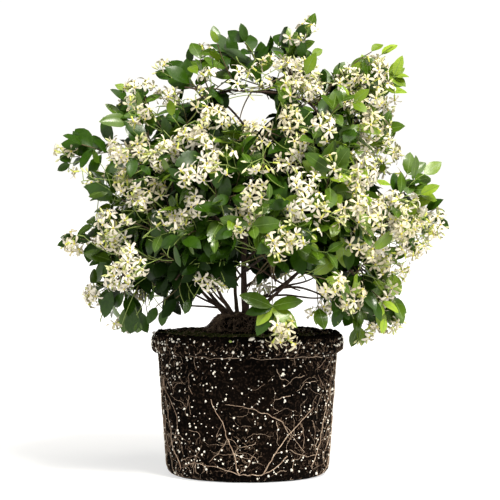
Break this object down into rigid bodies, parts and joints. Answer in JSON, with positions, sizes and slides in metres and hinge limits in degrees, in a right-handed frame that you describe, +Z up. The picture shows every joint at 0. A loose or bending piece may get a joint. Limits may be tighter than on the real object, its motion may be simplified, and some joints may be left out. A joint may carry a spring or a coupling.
{
  "type": "star jasmine shrub on its root ball",
  "caption": "Flowering star jasmine shrub: slender stems and leafy sprays with white starry blossom, standing on a bare moulded root ball.",
  "frame": {"origin": "centre of the flat underside of the root ball", "axes": "+Z up from the underside; -Y faces the viewer of the picture, +X is to the viewer's right"},
  "size_m": [0.5732, 0.5295, 0.6568],
  "materials": {
    "leaves": "glossy leathery leaf, deep to lime green",
    "blossom": "soft cream-white petal, yellow eye",
    "bark": "thin rough dark reddish-brown bark",
    "root_ball": "moist dark peat with white grains and tan roots"
  },
  "bodies": {
    "root": {"root_ball": "root_ball", "main_stem": "bark", "stem_front_right": "bark", "stem_back": "bark", "stem_back_left": "bark", "stem_left": "bark", "stem_front_left": "bark", "bough_low_front": "bark", "bough_low_right": "bark", "bough_low_back_right": "bark", "bough_high_front": "bark", "bough_high_right": "bark", "bough_high_back": "bark", "bough_high_left": "bark", "arch_branch": "bark", "foliage_low_front": "leaves", "foliage_low_front_right": "leaves", "foliage_low_right": "leaves", "foliage_low_back_right": "leaves", "foliage_low_back": "leaves", "foliage_low_back_left": "leaves", "foliage_low_left": "leaves", "foliage_low_front_left": "leaves", "foliage_middle_front": "leaves", "foliage_middle_front_right": "leaves", "foliage_middle_right": "leaves", "foliage_middle_back_right": "leaves", "foliage_middle_back": "leaves", "foliage_middle_back_left": "leaves", "foliage_middle_left": "leaves", "foliage_middle_front_left": "leaves", "foliage_high_front": "leaves", "foliage_high_front_right": "leaves", "foliage_high_right": "leaves", "foliage_high_back_right": "leaves", "foliage_high_back": "leaves", "foliage_high_back_left": "leaves", "foliage_high_left": "leaves", "foliage_high_front_left": "leaves", "foliage_upper_front_right": "leaves", "foliage_upper_back_right": "leaves", "foliage_upper_back_left": "leaves", "foliage_upper_front_left": "leaves", "foliage_top": "leaves"}
  },
  "joints": []
}
